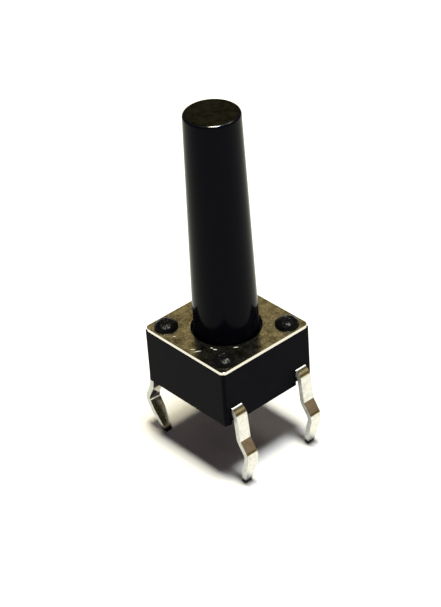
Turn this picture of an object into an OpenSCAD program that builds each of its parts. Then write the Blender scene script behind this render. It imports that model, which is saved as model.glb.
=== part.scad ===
// Through-hole tactile switch with a long round button.
// The origin is the centre of the seat that rests on the circuit board, with +Z up the button.
// The four legs leave the two X sides, two on each side, and reach below the board.

/* [Housing] */
// Side of the square cover
body_side = 6.0; // [5.9:0.05:6.1]
// How far the moulded base stands out beyond the cover on each side
base_margin = 0.02; // [0:0.01:0.05]
// Height of the sheet cover's top above the board
body_height = 3.5; // [3.4:0.1:3.8]
// Radius of the moulded base's upright corners
base_corner = 0.18; // [0.1:0.02:0.4]
// Gap between the circuit board and the bottom edge of the side walls
seat_height = 0.15; // [0.1:0.05:0.2]
// Side of the square seat under the base
seat_side = 4.2; // [3.5:0.1:4.5]
// Diameter of the round contact chamber
chamber_diameter = 4.6; // [4.5:0.1:4.8]
// Height of the chamber's floor above the board
chamber_floor = 1.3; // [1.25:0.05:1.35]
// Height of the notch below each leg's exit
notch_height = 0.22; // [0.1:0.02:0.3]

/* [Cover] */
// Thickness of the sheet cover
cover_thickness = 0.2; // [0.15:0.05:0.3]
// Radius of the cover's corners
cover_corner = 0.28; // [0.2:0.02:0.6]
// Diameter of the hole that the button comes through
cover_hole = 3.7; // [3.6:0.05:3.8]
// Distance of each rivet from the housing's centre planes
rivet_offset = 2.2; // [2.1:0.05:2.25]
// Diameter of the rivets' shanks
rivet_shank = 0.9; // [0.7:0.05:1.0]
// Diameter of the rivets' heads
rivet_head = 1.25; // [1.1:0.05:1.4]
// Height of the rivets' heads above the cover
rivet_height = 0.37; // [0.25:0.01:0.4]

/* [Button] */
// Height of the button's top above the board
button_height = 16.0; // [8:0.5:20]
// Button's diameter at its root
button_root = 3.44; // [3.3:0.02:3.5]
// Button's diameter at its top
button_top = 2.9; // [2.8:0.05:3.2]
// Rounding of the button's top rim
button_rim = 0.15; // [0.1:0.05:0.4]
// How far the button can be pressed
button_travel = 0.25; // [0.2:0.05:0.25]
// Diameter of the button's flange under the cover
flange_diameter = 4.36; // [4.2:0.02:4.4]
// Thickness of the flange
flange_thickness = 0.9; // [0.8:0.05:1.0]
// Diameter of the nub that presses the dome
nub_diameter = 1.2; // [1.0:0.1:1.5]

/* [Contacts] */
// Outer diameter of the snap dome
dome_diameter = 4.0; // [3.9:0.05:4.05]
// Height of the snap dome
dome_height = 0.42; // [0.4:0.01:0.45]
// Thickness of the snap dome's sheet
dome_thickness = 0.07; // [0.06:0.01:0.08]
// Diameter of the contact pads
pad_diameter = 0.7; // [0.6:0.05:0.7]
// Height of the outer pads above the chamber's floor
pad_height = 0.05; // [0.04:0.01:0.06]

/* [Legs] */
// Width of the terminal strip and of the legs
leg_width = 0.7; // [0.6:0.05:0.75]
// Thickness of the terminal strip
leg_thickness = 0.3; // [0.25:0.05:0.3]
// Distance between the two legs of one side
leg_pitch = 4.5; // [4.4:0.1:4.6]
// Height of the strip's upper face above the board
strip_top = 1.2; // [1.1:0.05:1.2]
// Depth of the legs' tips below the board
leg_depth = 3.5; // [3.0:0.1:3.5]
// Slope of the upper stretch, away from the upright
upper_slope = 6; // [4:1:8]
// Slope of the outward stretch of the +X legs' kinks
kink_slope_right = 34; // [26:1:36]
// Slope of the outward stretch of the -X legs' kinks
kink_slope_left = 27; // [26:1:36]
// Slope of the lower stretch of the +X legs, towards the housing
lower_slope_right = 16; // [12:1:24]
// Slope of the lower stretch of the -X legs, towards the housing
lower_slope_left = 31; // [12:1:32]
// Width of a leg at its tip
tip_width = 0.4; // [0.3:0.05:0.7]
// Length over which a leg narrows to its tip
tip_length = 1.1; // [0.5:0.1:1.2]

/* [Hidden] */

$fn = 64;
half_side = body_side / 2;
cover_bottom = body_height - cover_thickness;
running_gap = 0.02;
touch_gap = 0.01;
overshoot = 1;

// Snap dome: the cap of a thin ball, standing on the outer pads
dome_foot = chamber_floor + pad_height;
dome_top = dome_foot + dome_height;
dome_radius = dome_diameter / 2;
ball_radius = (dome_radius * dome_radius + dome_height * dome_height) / (2 * dome_height);
ball_centre = dome_top - ball_radius;
centre_pad_top = dome_top - dome_thickness - button_travel;
outer_pad_x = dome_radius - 0.09;

// Button: the flange waits just below the cover, and its nub just above the dome
flange_top = cover_bottom - running_gap;
flange_bottom = flange_top - flange_thickness;
nub_bottom = dome_top + touch_gap;

// Terminal strip: its bends are measured along the middle of the sheet
strip_middle = strip_top - leg_thickness / 2;
shoulder_radius = 0.6;
kink_radius = 0.3;
lower_radius = 0.5;
joint_lap = 0.01;
shoulder_start = half_side - 0.33;
upper_run = 1.24;
kink_run = 0.68;
lower_run = 3;
arm_width = 0.6;
arm_reach = 0.35;
tongue_width = 0.8;

module rounded_square(side, corner) {
    square([side - 2 * corner, side], center = true);
    square([side, side - 2 * corner], center = true);
    for (x = [-1, 1], y = [-1, 1])
        translate([x * (side / 2 - corner), y * (side / 2 - corner)])
            circle(corner);
}

// One bend of a strip that runs along +X: a ring sector to the left (turn > 0) or to the right
module strip_bend(turn, radius) {
    side = turn > 0 ? 1 : -1;
    reach = 3 * (radius + leg_thickness);
    translate([0, side * radius])
        intersection() {
            difference() {
                circle(radius + leg_thickness / 2);
                circle(radius - leg_thickness / 2);
            }
            polygon([
                [0, 0],
                [0, -side * reach],
                [reach * sin(abs(turn) / 2), -side * reach * cos(turn / 2)],
                [reach * sin(abs(turn)), -side * reach * cos(turn)]
            ]);
        }
}

// A strip drawn as [run, turn, radius] moves, each starting where the last one ended
module strip_path(moves, step = 0) {
    run = moves[step][0];
    turn = moves[step][1];
    radius = moves[step][2];
    side = turn > 0 ? 1 : -1;
    translate([-joint_lap, -leg_thickness / 2])
        square([run + 2 * joint_lap, leg_thickness]);
    if (step < len(moves) - 1)
        translate([run, 0]) {
            strip_bend(turn, radius);
            translate([radius * sin(abs(turn)), side * radius * (1 - cos(turn))])
                rotate(turn)
                    strip_path(moves, step + 1);
        }
}

// Side view of one leg from the middle of the housing to its tip
module leg_outline(kink_slope, lower_slope) {
    intersection() {
        translate([0, strip_middle])
            strip_path([
                [shoulder_start, -(90 - upper_slope), shoulder_radius],
                [upper_run, kink_slope - upper_slope, kink_radius],
                [kink_run, -(kink_slope + lower_slope), lower_radius],
                [lower_run, 0, 0]
            ]);
        translate([0, -leg_depth])
            square([body_side, leg_depth + body_height]);
    }
}

// Front view of the strip's edge: full width above, narrowing to the tip
module leg_width_outline() {
    polygon([
        [-leg_width / 2, strip_top + overshoot],
        [-leg_width / 2, tip_length - leg_depth],
        [-tip_width / 2, -leg_depth - touch_gap],
        [tip_width / 2, -leg_depth - touch_gap],
        [leg_width / 2, tip_length - leg_depth],
        [leg_width / 2, strip_top + overshoot]
    ]);
}

// Strip across the housing with a leg at each end
module leg_pair() {
    intersection() {
        rotate([90, 0, 0])
            linear_extrude(leg_width, center = true) {
                leg_outline(kink_slope_right, lower_slope_right);
                mirror([1, 0])
                    leg_outline(kink_slope_left, lower_slope_left);
            }
        rotate([90, 0, 90])
            linear_extrude(3 * body_side, center = true)
                leg_width_outline();
    }
}

// A pad coined up from the strip, from the strip's middle plane to its own top
module pad(top) {
    translate([0, 0, strip_middle])
        cylinder(h = top - strip_middle, d = pad_diameter);
}

module centre_terminal() {
    color("silver") {
        translate([0, -leg_pitch / 2, 0])
            leg_pair();
        translate([-tongue_width / 2, -leg_pitch / 2, strip_top - leg_thickness])
            cube([tongue_width, leg_pitch / 2 + tongue_width / 2, leg_thickness]);
        pad(centre_pad_top);
    }
}

module outer_terminal() {
    color("silver") {
        translate([0, leg_pitch / 2, 0])
            leg_pair();
        for (side = [-1, 1]) {
            translate([side * outer_pad_x - arm_width / 2, -arm_reach, strip_top - leg_thickness])
                cube([arm_width, leg_pitch / 2 + arm_reach, leg_thickness]);
            translate([side * outer_pad_x, 0, 0])
                pad(dome_foot);
        }
    }
}

module contact_dome() {
    color("gainsboro")
        rotate_extrude()
            intersection() {
                translate([0, ball_centre])
                    difference() {
                        circle(ball_radius, $fn = 128);
                        circle(ball_radius - dome_thickness, $fn = 128);
                    }
                translate([0, dome_foot])
                    square([dome_radius, dome_height + overshoot]);
            }
}

module rivet() {
    head_radius = rivet_head / 2;
    crown = rivet_height * 0.7;
    crown_ball = (head_radius * head_radius + crown * crown) / (2 * crown);
    translate([0, 0, cover_bottom - overshoot])
        cylinder(h = cover_thickness + overshoot, d = rivet_shank);
    translate([0, 0, body_height])
        intersection() {
            cylinder(h = rivet_height, r = head_radius);
            translate([0, 0, rivet_height - crown_ball])
                sphere(crown_ball);
        }
}

module base() {
    color("#1d1d22")
        difference() {
            union() {
                translate([0, 0, seat_height])
                    linear_extrude(cover_bottom - seat_height)
                        rounded_square(body_side + 2 * base_margin, base_corner);
                linear_extrude(seat_height + overshoot)
                    rounded_square(seat_side, base_corner);
                for (x = [-1, 1], y = [-1, 1])
                    translate([x * rivet_offset, y * rivet_offset, 0])
                        rivet();
            }
            translate([0, 0, chamber_floor])
                cylinder(h = body_height, d = chamber_diameter);
            for (x = [-1, 1], y = [-1, 1])
                translate([x * half_side, y * leg_pitch / 2, seat_height])
                    cube([leg_width, leg_width, 2 * notch_height], center = true);
            centre_terminal();
            outer_terminal();
        }
}

module cover() {
    color("lightgray")
        translate([0, 0, cover_bottom])
            linear_extrude(cover_thickness)
                difference() {
                    rounded_square(body_side, cover_corner);
                    circle(d = cover_hole);
                    for (x = [-1, 1], y = [-1, 1])
                        translate([x * rivet_offset, y * rivet_offset])
                            circle(d = rivet_shank);
                }
}

module plunger() {
    color("#151518")
        rotate_extrude() {
            polygon([
                [0, nub_bottom],
                [nub_diameter / 2, nub_bottom],
                [nub_diameter / 2, flange_bottom],
                [flange_diameter / 2, flange_bottom],
                [flange_diameter / 2, flange_top],
                [button_root / 2, flange_top],
                [button_top / 2, button_height - button_rim],
                [button_top / 2 - button_rim, button_height],
                [0, button_height]
            ]);
            translate([button_top / 2 - button_rim, button_height - button_rim])
                circle(button_rim);
        }
}

base();
cover();
plunger();
contact_dome();
centre_terminal();
outer_terminal();
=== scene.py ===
import math

import bpy
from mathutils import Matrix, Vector


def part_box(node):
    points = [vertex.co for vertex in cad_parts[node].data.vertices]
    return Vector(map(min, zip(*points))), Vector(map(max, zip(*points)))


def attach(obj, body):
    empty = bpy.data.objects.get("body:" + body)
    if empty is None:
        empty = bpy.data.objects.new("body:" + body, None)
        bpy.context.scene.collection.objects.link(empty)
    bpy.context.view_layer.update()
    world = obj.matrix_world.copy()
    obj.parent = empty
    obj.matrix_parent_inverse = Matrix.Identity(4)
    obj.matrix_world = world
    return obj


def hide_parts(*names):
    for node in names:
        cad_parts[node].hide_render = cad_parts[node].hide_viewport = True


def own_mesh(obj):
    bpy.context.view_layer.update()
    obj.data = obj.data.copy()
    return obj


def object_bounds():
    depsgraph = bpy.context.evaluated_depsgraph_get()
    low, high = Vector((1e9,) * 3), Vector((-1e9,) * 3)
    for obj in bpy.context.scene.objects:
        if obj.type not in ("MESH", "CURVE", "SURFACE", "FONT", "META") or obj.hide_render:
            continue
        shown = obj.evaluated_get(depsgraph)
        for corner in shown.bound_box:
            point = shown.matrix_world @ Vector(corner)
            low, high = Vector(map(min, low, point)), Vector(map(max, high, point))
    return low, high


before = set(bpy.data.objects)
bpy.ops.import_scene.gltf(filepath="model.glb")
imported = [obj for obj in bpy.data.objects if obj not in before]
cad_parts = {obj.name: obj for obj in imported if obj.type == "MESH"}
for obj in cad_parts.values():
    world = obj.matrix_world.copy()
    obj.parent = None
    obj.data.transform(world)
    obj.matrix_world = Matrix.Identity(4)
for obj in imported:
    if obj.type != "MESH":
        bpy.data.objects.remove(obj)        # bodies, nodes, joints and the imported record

mm = 0.001
slack = 0.001 * mm       # how far apart two heights may be and still count as one
squarely = 0.9           # a face points along an axis if its normal has at least this of it
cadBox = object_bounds()     # the CAD model's own box, before any piece is added
seatZ = 0.0              # the frame's origin is the seat on the circuit board
floorZ = cadBox[0].z     # the legs' tips stand on the floor
baseLow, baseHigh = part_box("base")
coverLow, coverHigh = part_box("cover")
buttonLow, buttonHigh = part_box("plunger")
domeLow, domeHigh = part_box("contact_dome")
print("stage: frame loaded, box", [tuple(round(v / mm, 3) for v in corner) for corner in cadBox])


def toLinear(hexColour):
    channels = [int(hexColour[start:start + 2], 16) / 255 for start in (1, 3, 5)]
    linear = [value / 12.92 if value <= 0.04045 else ((value + 0.055) / 1.055) ** 2.4 for value in channels]
    return (*linear, 1.0)


def addNode(tree, kind, settings=None, links=None):
    node = tree.nodes.new(kind)
    for name, value in (settings or {}).items():
        if isinstance(name, int) or name in node.inputs:
            node.inputs[name].default_value = value
        else:
            setattr(node, name, value)
    for name, source in (links or {}).items():
        tree.links.new(source, node.inputs[name])
    return node


def startMaterial(name, shaderSettings):
    material = bpy.data.materials.new(name)
    material.use_nodes = True
    tree = material.node_tree
    shader = tree.nodes["Principled BSDF"]
    for socket, value in shaderSettings.items():
        shader.inputs[socket].default_value = value
    place = addNode(tree, "ShaderNodeTexCoord").outputs["Object"]
    return material, tree, shader, place


def clearSelection():
    if bpy.context.object and bpy.context.object.mode == "EDIT":
        bpy.ops.object.mode_set(mode="OBJECT")
    bpy.ops.object.select_all(action="DESELECT")


def activate(piece):
    clearSelection()
    piece.select_set(True)
    bpy.context.view_layer.objects.active = piece


def newPiece(name):      # names the primitive that was just added
    piece = bpy.context.object
    piece.name = name
    piece.data.name = name
    return piece


def selectFaces(piece, test):
    bpy.ops.object.mode_set(mode="EDIT")
    bpy.ops.mesh.select_mode(type="FACE")
    bpy.ops.mesh.select_all(action="DESELECT")
    bpy.ops.object.mode_set(mode="OBJECT")
    place = piece.matrix_world
    for face in piece.data.polygons:
        face.select = test(place @ face.center, face.normal)
    bpy.ops.object.mode_set(mode="EDIT")


def selectEdges(piece, test):
    bpy.ops.object.mode_set(mode="EDIT")
    bpy.ops.mesh.select_mode(type="EDGE")
    bpy.ops.mesh.select_all(action="DESELECT")
    bpy.ops.object.mode_set(mode="OBJECT")
    place = piece.matrix_world
    points = [place @ v.co for v in piece.data.vertices]
    for edge in piece.data.edges:
        a, b = edge.vertices
        edge.select = test(points[a], points[b])
    bpy.ops.object.mode_set(mode="EDIT")


def extrude(offset, scale=None, about=None):
    bpy.ops.mesh.extrude_region_move(TRANSFORM_OT_translate={"value": offset})
    if scale:
        bpy.ops.transform.resize(value=scale, center_override=about)


def applyModifier(piece, kind, **settings):
    activate(piece)
    modifier = piece.modifiers.new(kind.title(), kind)
    for name, value in settings.items():
        setattr(modifier, name, value)
    bpy.ops.object.modifier_apply(modifier=modifier.name)


def combine(piece, tool, operation):
    applyModifier(piece, "BOOLEAN", object=tool, operation=operation, solver="EXACT")
    bpy.data.objects.remove(tool)


def settle(piece, material, body, smoothAngle=35):
    activate(piece)
    bpy.ops.object.transform_apply(location=True, rotation=True, scale=True)
    bpy.ops.object.shade_smooth_by_angle(angle=math.radians(smoothAngle))
    # flat faces keep their own normal, so only bends and rounded edges shade round; the
    # modifier weighs by area, which is lost at this size, so it works on an enlarged piece
    for size in (1000, 0.001):
        bpy.ops.transform.resize(value=(size, size, size), center_override=(0, 0, 0))
        bpy.ops.object.transform_apply(location=True, scale=True)
        if size > 1:
            applyModifier(piece, "WEIGHTED_NORMAL", keep_sharp=True)
    piece.data.materials.clear()
    piece.data.materials.append(material)
    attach(piece, body)


cameraSetup = {
    "azimuth": 50.0,          # degrees round from the front
    "elevation": 34.3,
    "roll": -4.1,
    "distance": 105 * mm,
    "aimHeight": 8 * mm,      # above the board, on the button's axis
    "slideRight": -0.04 * mm,
    "slideUp": -2.60 * mm,
    "lens": 124.0,
}


def makeCamera(setup):
    azimuth, elevation, roll = (math.radians(setup[k]) for k in ("azimuth", "elevation", "roll"))
    back = Vector((math.sin(azimuth) * math.cos(elevation),
                   -math.cos(azimuth) * math.cos(elevation),
                   math.sin(elevation)))
    right = Vector((math.cos(azimuth), math.sin(azimuth), 0))
    up = back.cross(right)
    rolledRight = right * math.cos(roll) + up * math.sin(roll)
    rolledUp = up * math.cos(roll) - right * math.sin(roll)
    place = (Vector((0, 0, setup["aimHeight"])) + back * setup["distance"]
             + rolledRight * setup["slideRight"] + rolledUp * setup["slideUp"])
    bpy.ops.object.camera_add(location=place)
    camera = bpy.context.object
    camera.name = "studioCamera"
    camera.rotation_mode = "QUATERNION"
    axes = (rolledRight, rolledUp, back)
    turn = camera.matrix_world.to_3x3()
    for column, axis in enumerate(axes):
        for row in range(3):
            turn[row][column] = axis[row]
    camera.rotation_quaternion = turn.to_quaternion()
    camera.data.lens = setup["lens"]
    camera.data.sensor_width = 36
    camera.data.clip_start = 5 * mm
    camera.data.clip_end = 20
    bpy.context.scene.camera = camera


clearSelection()
makeCamera(cameraSetup)
print("stage: camera set")


def mouldedNylon():
    # Black PA66, injection moulded in a spark-eroded tool: a fine even grain that
    # keeps the flats near black and only lifts where they are seen at a grazing angle
    material, tree, shader, place = startMaterial("mouldedNylon", {
        "Base Color": toLinear("#05050D"),
        "Roughness": 0.42,
        "IOR": 1.53,
        "Specular IOR Level": 0.02,
    })
    grain = addNode(tree, "ShaderNodeTexNoise", {"Scale": 1 / (0.05 * mm), "Detail": 3.0},
                    {"Vector": place})
    cloud = addNode(tree, "ShaderNodeTexNoise", {"Scale": 1 / (1.2 * mm), "Detail": 4.0}, {"Vector": place})
    tint = addNode(tree, "ShaderNodeValToRGB", links={"Fac": cloud.outputs["Fac"]})
    tint.color_ramp.elements[0].position = 0.35
    tint.color_ramp.elements[0].color = toLinear("#03030B")
    tint.color_ramp.elements[1].position = 0.65
    tint.color_ramp.elements[1].color = toLinear("#07070F")
    rough = addNode(tree, "ShaderNodeMapRange", {"To Min": 0.36, "To Max": 0.5},
                    {"Value": cloud.outputs["Fac"]})
    bump = addNode(tree, "ShaderNodeBump", {"Strength": 0.35, "Distance": 0.004 * mm},
                   {"Height": grain.outputs["Fac"]})
    tree.links.new(tint.outputs["Color"], shader.inputs["Base Color"])
    tree.links.new(rough.outputs["Result"], shader.inputs["Roughness"])
    tree.links.new(bump.outputs["Normal"], shader.inputs["Normal"])
    return material


def hotFormedNylon():
    # The base's own PA66 posts, softened and pressed over the cover: lumpy, torn and
    # a little glossier than the moulded walls, so each head catches broken highlights
    material, tree, shader, place = startMaterial("hotFormedNylon", {
        "Base Color": toLinear("#0B0B0C"),
        "Roughness": 0.28,
        "IOR": 1.53,
        "Specular IOR Level": 0.1,
    })
    lumps = addNode(tree, "ShaderNodeTexNoise", {"Scale": 1 / (0.22 * mm), "Detail": 3.0},
                    {"Vector": place})
    tears = addNode(tree, "ShaderNodeTexNoise", {"Scale": 1 / (0.06 * mm), "Detail": 2.0},
                    {"Vector": place})
    swell = addNode(tree, "ShaderNodeBump", {"Strength": 0.6, "Distance": 0.05 * mm},
                    {"Height": lumps.outputs["Fac"]})
    rough = addNode(tree, "ShaderNodeBump", {"Strength": 0.5, "Distance": 0.01 * mm},
                    {"Height": tears.outputs["Fac"], "Normal": swell.outputs["Normal"]})
    tree.links.new(rough.outputs["Normal"], shader.inputs["Normal"])
    return material


def polishedNylon():
    # The same black PA66 from a drawn, polished cavity: smoother than the base, with faint
    # streaks along the button where it left the tool, and an olive-black top mottled at random, warmed with
    # painted light
    material, tree, shader, place = startMaterial("polishedNylon", {
        "Base Color": toLinear("#07080F"),
        "Roughness": 0.15,
        "IOR": 1.53,
        "Specular IOR Level": 0.03,
    })
    height = addNode(tree, "ShaderNodeSeparateXYZ", links={"Vector": place}).outputs["Z"]
    # painted light: the face that looks up gets a lighter, warmer olive-black of its own, as if lit from
    # above, mottled at random
    onTop = addNode(tree, "ShaderNodeMapRange", {"From Min": buttonHigh.z - 0.03 * mm,
                                                 "From Max": buttonHigh.z - 0.01 * mm}, {"Value": height})
    topMottle = addNode(tree, "ShaderNodeTexNoise", {"Scale": 1 / (0.3 * mm), "Detail": 5.0, "Roughness": 0.7},
                    {"Vector": place})
    litTopTint = addNode(tree, "ShaderNodeValToRGB", links={"Fac": topMottle.outputs["Fac"]})
    litTopTint.color_ramp.elements[0].position = 0.4
    litTopTint.color_ramp.elements[0].color = toLinear("#010100")
    litTopTint.color_ramp.elements[1].position = 0.6
    litTopTint.color_ramp.elements[1].color = toLinear("#100F09")
    tint = addNode(tree, "ShaderNodeMix", {"data_type": "RGBA", 6: toLinear("#07080F")},
                   {0: onTop.outputs["Result"], 7: litTopTint.outputs["Color"]})
    stretch = addNode(tree, "ShaderNodeMapping", {"Scale": (1, 1, 0.06)}, {"Vector": place})
    streak = addNode(tree, "ShaderNodeTexNoise", {"Scale": 1 / (0.14 * mm), "Detail": 4.0},
                     {"Vector": stretch.outputs["Vector"]})
    grain = addNode(tree, "ShaderNodeTexNoise", {"Scale": 1 / (0.04 * mm), "Detail": 2.0},
                    {"Vector": place})
    both = addNode(tree, "ShaderNodeMath", {"operation": "ADD"},
                   {0: streak.outputs["Fac"], 1: grain.outputs["Fac"]})
    rough = addNode(tree, "ShaderNodeMapRange", {"To Min": 0.1, "To Max": 0.2},
                    {"Value": streak.outputs["Fac"]})
    bump = addNode(tree, "ShaderNodeBump", {"Strength": 0.2, "Distance": 0.002 * mm},
                   {"Height": both.outputs[0]})
    # painted highlight: the specular level is raised in a thin band round the rim, so that it takes a bright
    # line from the lamps
    drop = addNode(tree, "ShaderNodeMath", {"operation": "SUBTRACT", 1: buttonHigh.z - 0.028 * mm},
                   {0: height})
    away = addNode(tree, "ShaderNodeMath", {"operation": "ABSOLUTE"}, {0: drop.outputs[0]})
    rimHighlight = addNode(tree, "ShaderNodeMapRange", {
        "From Min": 0.026 * mm, "From Max": 0.016 * mm, "To Min": 0.03, "To Max": 1.0,
    }, {"Value": away.outputs[0]})
    tree.links.new(rimHighlight.outputs["Result"], shader.inputs["Specular IOR Level"])
    tree.links.new(tint.outputs[2], shader.inputs["Base Color"])
    tree.links.new(rough.outputs["Result"], shader.inputs["Roughness"])
    tree.links.new(bump.outputs["Normal"], shader.inputs["Normal"])
    return material


coverNicks = [       # x, y, angle in degrees, length and width in mm: handling marks in the plating
    (0.34, -2.63, 43, 0.30, 0.05),
    (0.64, -2.58, 60, 0.47, 0.06),
    (0.95, -1.88, 28, 0.16, 0.08),
    (1.17, -1.85, 37, 0.25, 0.09),
    (1.80, -1.00, 50, 0.30, 0.07),
    (-1.21, -2.52, 48, 0.18, 0.05),
]


def tinnedSteel():
    # Bright tin-plated steel sheet, rolled then punched: mirror-like but not quite flat,
    # stained and speckled on top by handling, with short nicks that glint; cut edges stay clean
    material, tree, shader, place = startMaterial("tinnedSteel", {
        "Base Color": toLinear("#D6D3CA"),
        "Metallic": 1.0,
        "Roughness": 0.16,
    })
    height = addNode(tree, "ShaderNodeSeparateXYZ", links={"Vector": place}).outputs["Z"]
    onTop = addNode(tree, "ShaderNodeMapRange", {"From Min": coverHigh.z - 0.02 * mm,
                                                 "From Max": coverHigh.z - 0.005 * mm}, {"Value": height})
    wave = addNode(tree, "ShaderNodeTexNoise", {"Scale": 1 / (1.6 * mm), "Detail": 2.0}, {"Vector": place})
    cloud = addNode(tree, "ShaderNodeTexNoise", {"Scale": 1 / (0.5 * mm), "Detail": 4.0, "Roughness": 0.6},
                    {"Vector": place})
    grit = addNode(tree, "ShaderNodeTexNoise", {"Scale": 1 / (0.1 * mm), "Detail": 3.0, "Roughness": 0.7},
                   {"Vector": place})
    mixed = addNode(tree, "ShaderNodeMath", {"operation": "MULTIPLY"},
                    {0: cloud.outputs["Fac"], 1: grit.outputs["Fac"]})
    stain = addNode(tree, "ShaderNodeValToRGB", links={"Fac": mixed.outputs[0]})
    stain.color_ramp.elements[0].position = 0.15
    stain.color_ramp.elements[0].color = toLinear("#5F5A45")
    stain.color_ramp.elements[1].position = 0.36
    stain.color_ramp.elements[1].color = toLinear("#D8D2BE")
    tint = addNode(tree, "ShaderNodeMix", {"data_type": "RGBA", 6: toLinear("#D6D3CA")},
                   {0: onTop.outputs["Result"], 7: stain.outputs["Color"]})
    marks = None
    for x, y, angle, length, width in coverNicks:
        moved = addNode(tree, "ShaderNodeMapping", {
            "vector_type": "TEXTURE", "Location": (x * mm, y * mm, coverHigh.z),
            "Rotation": (0, 0, math.radians(angle)), "Scale": (length / 2 * mm, width / 2 * mm, 0.05 * mm),
        }, {"Vector": place})
        reach = addNode(tree, "ShaderNodeVectorMath", {"operation": "LENGTH"}, {0: moved.outputs["Vector"]})
        mark = addNode(tree, "ShaderNodeMapRange", {"From Min": 1.1, "From Max": 0.6},
                       {"Value": reach.outputs["Value"]}).outputs["Result"]
        if marks:
            mark = addNode(tree, "ShaderNodeMath", {"operation": "MAXIMUM"}, {0: marks, 1: mark}).outputs[0]
        marks = mark
    colour = addNode(tree, "ShaderNodeMix", {"data_type": "RGBA", 7: toLinear("#F4F2EC")},
                     {0: marks, 6: tint.outputs[2]})
    sheen = addNode(tree, "ShaderNodeMapRange", {"To Min": 0.12, "To Max": 0.3},
                    {"Value": grit.outputs["Fac"]})
    rough = addNode(tree, "ShaderNodeMix", {"data_type": "FLOAT", 3: 0.75},
                    {0: marks, 2: sheen.outputs["Result"]})
    swell = addNode(tree, "ShaderNodeBump", {"Strength": 1.0, "Distance": 0.05 * mm},
                    {"Height": wave.outputs["Fac"]})
    speck = addNode(tree, "ShaderNodeBump", {"Strength": 0.6, "Distance": 0.006 * mm},
                    {"Height": grit.outputs["Fac"], "Normal": swell.outputs["Normal"]})
    tree.links.new(colour.outputs[2], shader.inputs["Base Color"])
    tree.links.new(rough.outputs[0], shader.inputs["Roughness"])
    tree.links.new(speck.outputs["Normal"], shader.inputs["Normal"])
    return material


def silveredBrass():
    # Half-hard brass strip, silver plated, then cropped: bright white with fine drawing marks
    # along the strip, slightly uneven plating, and dull tips darkened with painted shade where they meet the
    # floor
    material, tree, shader, place = startMaterial("silveredBrass", {
        "Base Color": toLinear("#D6D6D2"),
        "Metallic": 1.0,
        "Roughness": 0.14,
    })
    height = addNode(tree, "ShaderNodeSeparateXYZ", links={"Vector": place}).outputs["Z"]
    # painted shade: the tips are darkened over the last fraction of a millimetre above the floor, standing
    # in for their contact shadow
    atTip = addNode(tree, "ShaderNodeMapRange",
                    {"From Min": floorZ + 0.36 * mm, "From Max": floorZ + 0.16 * mm}, {"Value": height})
    stretch = addNode(tree, "ShaderNodeMapping", {"Scale": (0.3, 1, 0.08)}, {"Vector": place})
    lines = addNode(tree, "ShaderNodeTexNoise", {"Scale": 1 / (0.06 * mm), "Detail": 3.0},
                    {"Vector": stretch.outputs["Vector"]})
    patch = addNode(tree, "ShaderNodeTexNoise", {"Scale": 1 / (0.2 * mm), "Detail": 4.0}, {"Vector": place})
    plating = addNode(tree, "ShaderNodeValToRGB", links={"Fac": patch.outputs["Fac"]})
    plating.color_ramp.elements[0].position = 0.34
    plating.color_ramp.elements[0].color = toLinear("#C3C3BC")
    plating.color_ramp.elements[1].position = 0.56
    plating.color_ramp.elements[1].color = toLinear("#D6D6D2")
    colour = addNode(tree, "ShaderNodeMix", {"data_type": "RGBA", 7: toLinear("#2A2A2C")},
                     {0: atTip.outputs["Result"], 6: plating.outputs["Color"]})
    sheen = addNode(tree, "ShaderNodeMapRange", {"To Min": 0.05, "To Max": 0.12},
                    {"Value": patch.outputs["Fac"]})
    # the long edges were sheared, so they are matt
    facing = addNode(tree, "ShaderNodeTexCoord").outputs["Normal"]
    across = addNode(tree, "ShaderNodeSeparateXYZ", links={"Vector": facing}).outputs["Y"]
    sideways = addNode(tree, "ShaderNodeMath", {"operation": "ABSOLUTE"}, {0: across})
    sheared = addNode(tree, "ShaderNodeMapRange", {"From Min": 0.8, "From Max": 0.9},
                      {"Value": sideways.outputs[0]})
    dull = addNode(tree, "ShaderNodeMath", {"operation": "MAXIMUM"},
                   {0: atTip.outputs["Result"], 1: sheared.outputs["Result"]})
    rough = addNode(tree, "ShaderNodeMix", {"data_type": "FLOAT", 3: 0.6},
                    {0: dull.outputs[0], 2: sheen.outputs["Result"]})
    bump = addNode(tree, "ShaderNodeBump", {"Strength": 0.25, "Distance": 0.003 * mm},
                   {"Height": lines.outputs["Fac"]})
    tree.links.new(colour.outputs[2], shader.inputs["Base Color"])
    tree.links.new(rough.outputs[0], shader.inputs["Roughness"])
    tree.links.new(bump.outputs["Normal"], shader.inputs["Normal"])
    return material


def springSteel():
    # Cold-rolled stainless spring sheet, pressed into a dome: even and bright
    material, tree, shader, place = startMaterial("springSteel", {
        "Base Color": toLinear("#C9C8C4"),
        "Metallic": 1.0,
        "Roughness": 0.22,
    })
    stretch = addNode(tree, "ShaderNodeMapping", {"Scale": (0.05, 1, 1)}, {"Vector": place})
    rolled = addNode(tree, "ShaderNodeTexNoise", {"Scale": 1 / (0.03 * mm), "Detail": 2.0},
                     {"Vector": stretch.outputs["Vector"]})
    rough = addNode(tree, "ShaderNodeMapRange", {"To Min": 0.16, "To Max": 0.3},
                    {"Value": rolled.outputs["Fac"]})
    tree.links.new(rough.outputs["Result"], shader.inputs["Roughness"])
    return material


nylonBase = mouldedNylon()
nylonRivets = hotFormedNylon()
nylonButton = polishedNylon()
tinSheet = tinnedSteel()
silverStrip = silveredBrass()
domeSheet = springSteel()
print("stage: materials made")


baseSetup = {
    "side": 2 * baseHigh.x,
    "wallBottom": seatZ + 0.15 * mm,
    "cornerRadius": 0.18 * mm,
    "cornerSteps": 8,
    "edgeRound": 0.035 * mm,
    "edgeSteps": 3,
    "seatSide": 4.2 * mm,
    "chamberRadius": 2.3 * mm,
    "chamberSides": 96,
    "chamberFloor": 1.3 * mm,
    "notchWidth": 0.7 * mm,
    "notchHeight": 0.22 * mm,
    "notchDepth": 0.35 * mm,
}
legPitch = 4.5 * mm


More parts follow.
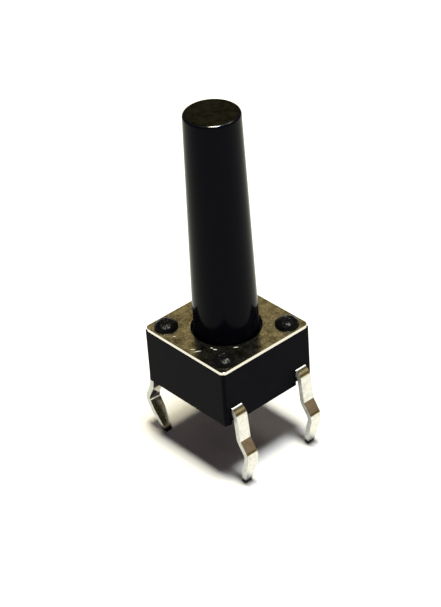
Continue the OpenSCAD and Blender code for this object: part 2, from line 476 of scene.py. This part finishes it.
def makeBase(setup):
    height = coverLow.z - setup["wallBottom"]
    clearSelection()
    bpy.ops.mesh.primitive_cube_add(size=1, location=(0, 0, setup["wallBottom"] + height / 2),
                                    scale=(setup["side"], setup["side"], height))
    piece = newPiece("base_moulding")
    bpy.ops.object.transform_apply(location=True, scale=True)
    selectEdges(piece, lambda a, b: abs(a.z - b.z) > height / 2)
    bpy.ops.mesh.bevel(offset=setup["cornerRadius"], segments=setup["cornerSteps"])
    # the raised seat under the base
    selectFaces(piece, lambda centre, normal: normal.z < -squarely)
    shrink = setup["seatSide"] / setup["side"]
    extrude((0, 0, 0), (shrink, shrink, 1), (0, 0, 0))
    extrude((0, 0, seatZ - setup["wallBottom"]))
    bpy.ops.object.mode_set(mode="OBJECT")
    # a notch below each leg's exit
    for x in (-1, 1):
        for y in (-1, 1):
            clearSelection()
            bpy.ops.mesh.primitive_cube_add(
                size=1, location=(x * setup["side"] / 2, y * legPitch / 2, setup["wallBottom"]),
                scale=(2 * setup["notchDepth"], setup["notchWidth"], 2 * setup["notchHeight"]))
            bpy.ops.object.transform_apply(location=True, scale=True)
            combine(piece, newPiece("notch_core"), "DIFFERENCE")
    applyModifier(piece, "BEVEL", width=setup["edgeRound"], segments=setup["edgeSteps"],
                  limit_method="ANGLE", angle_limit=math.radians(40))
    # the contact chamber, open at the top under the cover
    clearSelection()
    depth = coverLow.z - setup["chamberFloor"]
    bpy.ops.mesh.primitive_cylinder_add(vertices=setup["chamberSides"], radius=setup["chamberRadius"],
                                        depth=2 * depth, location=(0, 0, coverLow.z))
    combine(piece, newPiece("chamber_core"), "DIFFERENCE")
    settle(piece, nylonBase, "housing")
    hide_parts("base")


makeBase(baseSetup)
print("stage: base made")


coverSetup = {
    "side": 2 * coverHigh.x,
    "cornerRadius": 0.28 * mm,
    "cornerSteps": 16,
    "edgeRound": 0.03 * mm,       # rolled over by the punch
    "edgeSteps": 3,
    "holeRadius": 1.85 * mm,
    "holeSides": 128,
    "rivetHoleRadius": 0.45 * mm,
    "rivetHoleSides": 40,
}
rivetOffset = 2.2 * mm


def makeCover(setup):
    thickness = coverHigh.z - coverLow.z
    middle = (coverHigh.z + coverLow.z) / 2
    clearSelection()
    bpy.ops.mesh.primitive_cube_add(size=1, location=(0, 0, middle),
                                    scale=(setup["side"], setup["side"], thickness))
    piece = newPiece("cover_sheet_top")
    bpy.ops.object.transform_apply(location=True, scale=True)
    selectEdges(piece, lambda a, b: abs(a.z - b.z) > thickness / 2)
    bpy.ops.mesh.bevel(offset=setup["cornerRadius"], segments=setup["cornerSteps"])
    bpy.ops.object.mode_set(mode="OBJECT")
    holes = [(0, 0, setup["holeRadius"], setup["holeSides"])]
    holes += [(x * rivetOffset, y * rivetOffset, setup["rivetHoleRadius"], setup["rivetHoleSides"])
              for x in (-1, 1) for y in (-1, 1)]
    for x, y, radius, sides in holes:
        clearSelection()
        bpy.ops.mesh.primitive_cylinder_add(vertices=sides, radius=radius, depth=3 * thickness,
                                            location=(x, y, middle))
        combine(piece, newPiece("hole_punch"), "DIFFERENCE")
    applyModifier(piece, "BEVEL", width=setup["edgeRound"], segments=setup["edgeSteps"],
                  limit_method="ANGLE", angle_limit=math.radians(50))
    settle(piece, tinSheet, "housing")
    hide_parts("cover")


makeCover(coverSetup)
print("stage: cover made")


rivetSetup = {
    "sides": 48,
    "shankRadius": 0.45 * mm,
    "shankLength": 0.6 * mm,
    "headRadius": 0.625 * mm,
    "headHeight": baseHigh.z - coverHigh.z,
    "footRatio": 0.97,            # the head tucks in where it meets the cover
    "footHeight": 0.02 * mm,
    "sideHeight": 0.11 * mm,
    "crownSteps": 8,
    "craterRadius": 0.27 * mm,    # the hot tool pressed the middle in
    "craterDepth": 0.06 * mm,
    "craterSteps": ((0.86, 0.3), (0.62, 0.8), (0.3, 1.0)),   # shares of its radius and depth
    "slump": 0.07 * mm,
    "seeds": (3, 8, 14, 21),
}


def makeRivets(setup):
    crown = setup["headHeight"] - setup["sideHeight"]
    ball = (setup["headRadius"] ** 2 + crown ** 2) / (2 * crown)
    clearSelection()
    bpy.ops.mesh.primitive_cylinder_add(
        vertices=setup["sides"], radius=setup["shankRadius"], depth=setup["shankLength"],
        location=(rivetOffset, rivetOffset, coverHigh.z - setup["shankLength"] / 2))
    head = newPiece("rivet_head")
    bpy.ops.object.transform_apply(location=True)
    axis = (rivetOffset, rivetOffset, coverHigh.z)
    selectFaces(head, lambda centre, normal: normal.z > squarely)
    # out over the cover, up the side, over the crown and into the crater
    rims = [(setup["headRadius"] * setup["footRatio"], 0.0), (setup["headRadius"], setup["footHeight"]),
            (setup["headRadius"], setup["sideHeight"])]
    inward = setup["craterRadius"] - setup["headRadius"]
    for step in range(1, setup["crownSteps"] + 1):
        ring = setup["headRadius"] + inward * step / setup["crownSteps"]
        rims.append((ring, setup["headHeight"] - ball + math.sqrt(ball * ball - ring * ring)))
    lip = rims[-1][1]
    rims += [(setup["craterRadius"] * part, lip - setup["craterDepth"] * sunk)
             for part, sunk in setup["craterSteps"]]
    radius, height = setup["shankRadius"], 0.0
    for nextRadius, nextHeight in rims:
        ratio = nextRadius / radius
        extrude((0, 0, nextHeight - height), (ratio, ratio, 1), axis)
        radius, height = nextRadius, nextHeight
    bpy.ops.mesh.poke()
    bpy.ops.object.mode_set(mode="OBJECT")
    heads = [head]
    for x, y in ((-2, 0), (0, -2), (-2, -2)):       # to the other three corners
        activate(head)
        bpy.ops.object.duplicate(linked=False)
        bpy.ops.transform.translate(value=(x * rivetOffset, y * rivetOffset, 0))
        bpy.ops.object.transform_apply(location=True)
        heads.append(bpy.context.object)
    # each head slumped its own way when it was hot
    for number, copy in enumerate(heads):
        activate(copy)
        selectFaces(copy, lambda centre, normal: centre.z > coverHigh.z + setup["sideHeight"])
        bpy.ops.transform.vertex_random(offset=setup["slump"], seed=setup["seeds"][number])
        bpy.ops.mesh.vertices_smooth(factor=0.5, repeat=2)
        bpy.ops.object.mode_set(mode="OBJECT")
    clearSelection()
    for copy in heads:
        copy.select_set(True)
    bpy.context.view_layer.objects.active = head
    bpy.ops.object.join()
    piece = newPiece("rivet_heads")
    settle(piece, nylonRivets, "housing", 60)


makeRivets(rivetSetup)
print("stage: rivets made")


buttonSetup = {
    "sides": 160,
    "rootRadius": 1.72 * mm,
    "topRadius": 1.45 * mm,
    "rim": 0.15 * mm,
    "rimSteps": 10,
    "flangeRadius": buttonHigh.x,
    "flangeTop": coverLow.z - 0.02 * mm,
    "flangeThickness": 0.9 * mm,
    "flangeEdge": 0.06 * mm,
    "flangeEdgeSteps": 3,
    "nubRadius": 0.6 * mm,
}


def makeButton(setup):
    flangeBottom = setup["flangeTop"] - setup["flangeThickness"]
    nubHeight = flangeBottom - buttonLow.z
    clearSelection()
    bpy.ops.mesh.primitive_cylinder_add(vertices=setup["sides"], radius=setup["nubRadius"], depth=nubHeight,
                                        location=(0, 0, buttonLow.z + nubHeight / 2))
    piece = newPiece("button_moulding")
    bpy.ops.object.transform_apply(location=True)
    selectFaces(piece, lambda centre, normal: normal.z > squarely)
    wide = setup["flangeRadius"] / setup["nubRadius"]
    narrow = setup["rootRadius"] / setup["flangeRadius"]
    taper = setup["topRadius"] / setup["rootRadius"]
    extrude((0, 0, 0), (wide, wide, 1), (0, 0, 0))
    extrude((0, 0, setup["flangeThickness"]))
    extrude((0, 0, 0), (narrow, narrow, 1), (0, 0, 0))
    extrude((0, 0, buttonHigh.z - setup["flangeTop"]), (taper, taper, 1), (0, 0, 0))
    selectEdges(piece, lambda a, b: min(a.z, b.z) > buttonHigh.z - slack)
    bpy.ops.mesh.bevel(offset=setup["rim"], segments=setup["rimSteps"])
    # the flange's two outer edges
    selectEdges(piece, lambda a, b: max(a.z, b.z) < setup["flangeTop"] + slack and abs(a.z - b.z) < slack
                and min(a.xy.length, b.xy.length) > setup["rootRadius"] * 1.1)
    bpy.ops.mesh.bevel(offset=setup["flangeEdge"], segments=setup["flangeEdgeSteps"])
    bpy.ops.object.mode_set(mode="OBJECT")
    settle(piece, nylonButton, "button", 30)
    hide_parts("plunger")


makeButton(buttonSetup)
print("stage: button made")


stripSetup = {
    "width": 0.7 * mm,
    "thickness": 0.3 * mm,
    "top": 1.2 * mm,
    "shoulderStart": 2.67 * mm,
    "shoulderRadius": 0.6 * mm,
    "kinkRadius": 0.3 * mm,
    "lowerRadius": 0.5 * mm,
    "upperSlope": 6,
    "upperRun": 1.24 * mm,
    "kinkRun": 0.68 * mm,
    "tipWidth": 0.4 * mm,
    "tipLength": 1.1 * mm,
    "bendSteps": 8,
    "edgeRound": 0.015 * mm,
    "edgeSteps": 2,
    "armThinning": 0.98,          # keeps the arms' flats off the strip's own
    "centreArmEnd": 0.4 * mm,
    "centreArmWidth": 0.8 * mm,
    "outerArmEnd": -0.35 * mm,
    "outerArmWidth": 0.6 * mm,
    "outerPadX": 1.91 * mm,
    "padRadius": 0.35 * mm,
    "padSides": 40,
    1: {"kinkSlope": 34, "lowerSlope": 16},      # +X legs
    -1: {"kinkSlope": 27, "lowerSlope": 31},     # -X legs
}


def bendLeg(piece, setup, side, y):
    middle = setup["top"] - setup["thickness"] / 2
    kinkSlope = setup[side]["kinkSlope"]
    lowerSlope = setup[side]["lowerSlope"]
    end = Vector((setup["shoulderStart"], middle))      # x outwards and z, on the strip's middle
    slope = 90                                          # degrees out from straight down
    selectFaces(piece, lambda centre, normal: normal.x * side > squarely and centre.x * side > 0.9 * end.x)

    def bend(toSlope, radius):
        nonlocal end, slope
        turn = math.radians(toSlope - slope)
        inward = -1 if turn < 0 else 1
        heading = math.radians(slope)
        normal = Vector((math.cos(heading), math.sin(heading))) * inward
        centre = end + normal * radius
        bpy.ops.mesh.spin(steps=setup["bendSteps"], angle=turn * side, axis=(0, 1, 0),
                          center=(centre.x * side, y, centre.y))
        swing = Vector((end.x - centre.x, end.y - centre.y))
        cosTurn = math.cos(turn)
        sinTurn = math.sin(turn)
        end = centre + Vector((swing.x * cosTurn - swing.y * sinTurn, swing.x * sinTurn + swing.y * cosTurn))
        slope = toSlope

    def run(length):
        nonlocal end
        heading = math.radians(slope)
        step = Vector((math.sin(heading), -math.cos(heading))) * length
        extrude((step.x * side, 0, step.y))
        end = end + step

    bend(setup["upperSlope"], setup["shoulderRadius"])
    run(setup["upperRun"])
    bend(kinkSlope, setup["kinkRadius"])
    run(setup["kinkRun"])
    bend(-lowerSlope, setup["lowerRadius"])
    fall = end.y - floorZ
    run((fall - setup["tipLength"]) / math.cos(math.radians(lowerSlope)))
    run(setup["tipLength"] / math.cos(math.radians(lowerSlope)))
    bpy.ops.transform.resize(value=(1, setup["tipWidth"] / setup["width"], 0),
                             center_override=(end.x * side, y, floorZ))
    # a spin can leave doubled points and faces turned inwards
    bpy.ops.mesh.select_all(action="SELECT")
    bpy.ops.mesh.remove_doubles(threshold=0.0001 * mm)
    bpy.ops.mesh.normals_make_consistent(inside=False)
    bpy.ops.object.mode_set(mode="OBJECT")


def makeTerminal(name, node, y, arms, pads):
    setup = stripSetup
    middle = setup["top"] - setup["thickness"] / 2
    clearSelection()
    bpy.ops.mesh.primitive_cube_add(size=1, location=(0, y, middle),
                                    scale=(2 * setup["shoulderStart"], setup["width"], setup["thickness"]))
    piece = newPiece(name)
    bpy.ops.object.transform_apply(location=True, scale=True)
    for side in (1, -1):
        bendLeg(piece, setup, side, y)
    applyModifier(piece, "BEVEL", width=setup["edgeRound"], segments=setup["edgeSteps"],
                  limit_method="ANGLE", angle_limit=math.radians(60))
    for x, fromY, toY, width in arms:
        clearSelection()
        bpy.ops.mesh.primitive_cube_add(
            size=1, location=(x, (fromY + toY) / 2, middle),
            scale=(width, abs(toY - fromY), setup["thickness"] * setup["armThinning"]))
        bpy.ops.object.transform_apply(location=True, scale=True)
        combine(piece, newPiece("arm_blank"), "UNION")
    for x, top in pads:
        clearSelection()
        bpy.ops.mesh.primitive_cylinder_add(vertices=setup["padSides"], radius=setup["padRadius"],
                                            depth=top - middle, location=(x, 0, (top + middle) / 2))
        combine(piece, newPiece("pad_blank"), "UNION")
    settle(piece, silverStrip, "housing")
    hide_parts(node)


makeTerminal("centre_contact_strip", "centre_terminal", -legPitch / 2,
             arms=[(0, -legPitch / 2, stripSetup["centreArmEnd"], stripSetup["centreArmWidth"])],
             pads=[(0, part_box("centre_terminal")[1].z)])
makeTerminal("outer_contact_strip", "outer_terminal", legPitch / 2,
             arms=[(x * stripSetup["outerPadX"], legPitch / 2, stripSetup["outerArmEnd"],
                    stripSetup["outerArmWidth"]) for x in (-1, 1)],
             pads=[(x * stripSetup["outerPadX"], domeLow.z) for x in (-1, 1)])
print("stage: terminals made")


domeSetup = {
    "sheet": 0.07 * mm,
    "sides": 96,
    "rings": 360,            # round the whole ball, of which the dome is a small cap
}


def makeDome(setup):
    radius = domeHigh.x
    height = domeHigh.z - domeLow.z
    sheet = setup["sheet"]
    ball = (radius * radius + height * height) / (2 * height)
    clearSelection()
    bpy.ops.mesh.primitive_uv_sphere_add(segments=setup["sides"], ring_count=setup["rings"], radius=ball,
                                         location=(0, 0, domeHigh.z - ball))
    piece = newPiece("snap_dome")
    bpy.ops.object.transform_apply(location=True)
    bpy.ops.object.mode_set(mode="EDIT")
    bpy.ops.mesh.select_all(action="SELECT")
    bpy.ops.mesh.bisect(plane_co=(0, 0, domeLow.z - sheet), plane_no=(0, 0, 1), clear_inner=True,
                        threshold=1e-7)
    bpy.ops.object.mode_set(mode="OBJECT")
    applyModifier(piece, "SOLIDIFY", thickness=sheet, offset=-1)
    # the shell's foot is cut flat where it stands on the pads
    bpy.ops.object.mode_set(mode="EDIT")
    bpy.ops.mesh.select_all(action="SELECT")
    bpy.ops.mesh.bisect(plane_co=(0, 0, domeLow.z), plane_no=(0, 0, 1), use_fill=True, clear_inner=True,
                        threshold=1e-7)
    bpy.ops.object.mode_set(mode="OBJECT")
    settle(piece, domeSheet, "housing", 40)
    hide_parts("contact_dome")
    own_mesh(piece)


makeDome(domeSetup)
print("stage: dome made")


floorSide = 3.0
lampDistance = 0.6


def makeFloor():
    clearSelection()
    bpy.ops.mesh.primitive_plane_add(size=floorSide, location=(0, 0, floorZ))
    floor = newPiece("studioFloor")
    paper = startMaterial("whitePaper", {
        "Base Color": toLinear("#F4F3F1"),
        "Roughness": 0.9,
        "Specular IOR Level": 0.1,
    })[0]
    floor.data.materials.append(paper)


def overheadLamp(name, lean, radiance, colour, spread=7):
    # lean is how far the lamp goes along x and y for each unit up, and spread is its half-angle
    # in degrees; its power is worked out so that its face has the radiance asked for
    size = 2 * lampDistance * math.tan(math.radians(spread))
    back = Vector((lean[0], lean[1], 1)).normalized()
    bpy.ops.object.light_add(type="AREA", location=back * lampDistance)
    lamp = bpy.context.object
    lamp.name = name
    lamp.rotation_mode = "QUATERNION"
    lamp.rotation_quaternion = back.to_track_quat("Z", "Y")
    lamp.data.shape = "DISK"
    lamp.data.size = size
    lamp.data.energy = radiance * math.pi * math.pi * (size / 2) ** 2
    lamp.data.color = toLinear(colour)[:3]


roomSetup = {
    # how high above the horizon, from 0 to 1, and the colour there
    "heights": [(0.0, "#B0A060"), (0.17, "#8C7B4B"), (0.21, "#241F12"), (0.27, "#241F12"),
                (0.31, "#9E886C"), (0.42, "#A4906F"), (0.5, "#CCBC8E"), (0.6, "#9E9168"),
                (0.72, "#59503F"), (1.0, "#FFFFFF")],
    "bandNear": (0.36, 0.44),       # the lit wall is a band to the back, these far along Y
    "bandFar": (0.72, 0.62),
    "elsewhere": "#332E39",
}


def makeWorld(setup):
    # a dim room for the metals to mirror: its lit wall is olive at the horizon, dark just
    # above, then warm brown, and pales to white overhead
    world = bpy.data.worlds.new("dimRoom")
    bpy.context.scene.world = world
    world.use_nodes = True
    tree = world.node_tree
    tree.nodes.clear()
    place = addNode(tree, "ShaderNodeTexCoord").outputs["Generated"]
    axes = addNode(tree, "ShaderNodeSeparateXYZ", links={"Vector": place}).outputs
    wall = addNode(tree, "ShaderNodeValToRGB", links={"Fac": axes["Z"]})
    stops = wall.color_ramp.elements
    stops.remove(stops[1])       # a new ramp comes with two stops, and the first is used below
    for number, (height, colour) in enumerate(setup["heights"]):
        stop = stops.new(height) if number else stops[0]
        stop.position = height
        stop.color = toLinear(colour)
    near, far = (addNode(tree, "ShaderNodeMapRange",
                         {"From Min": setup[edge][0], "From Max": setup[edge][1]}, {"Value": axes["Y"]})
                 for edge in ("bandNear", "bandFar"))
    band = addNode(tree, "ShaderNodeMath", {"operation": "MULTIPLY"},
                   {0: near.outputs["Result"], 1: far.outputs["Result"]})
    around = addNode(tree, "ShaderNodeMix", {"data_type": "RGBA", 6: toLinear(setup["elsewhere"])},
                     {0: band.outputs[0], 7: wall.outputs["Color"]})
    room = addNode(tree, "ShaderNodeBackground", links={"Color": around.outputs[2]})
    addNode(tree, "ShaderNodeOutputWorld", links={"Surface": room.outputs[0]})


makeFloor()
overheadLamp("warmLamp", (0.0, 0.01), 49, "#FFF8DA")
overheadLamp("coolLamp", (0.19, 0.01), 57, "#FAFEFF")
overheadLamp("ceilingGlow", (0.25, 0.64), 2.2, "#FFFAF0", 6)      # whitens the legs' shoulders
makeWorld(roomSetup)
bpy.context.scene.view_settings.view_transform = "Standard"
print("stage: floor, lights and world set")

clearSelection()
print("stage: done")
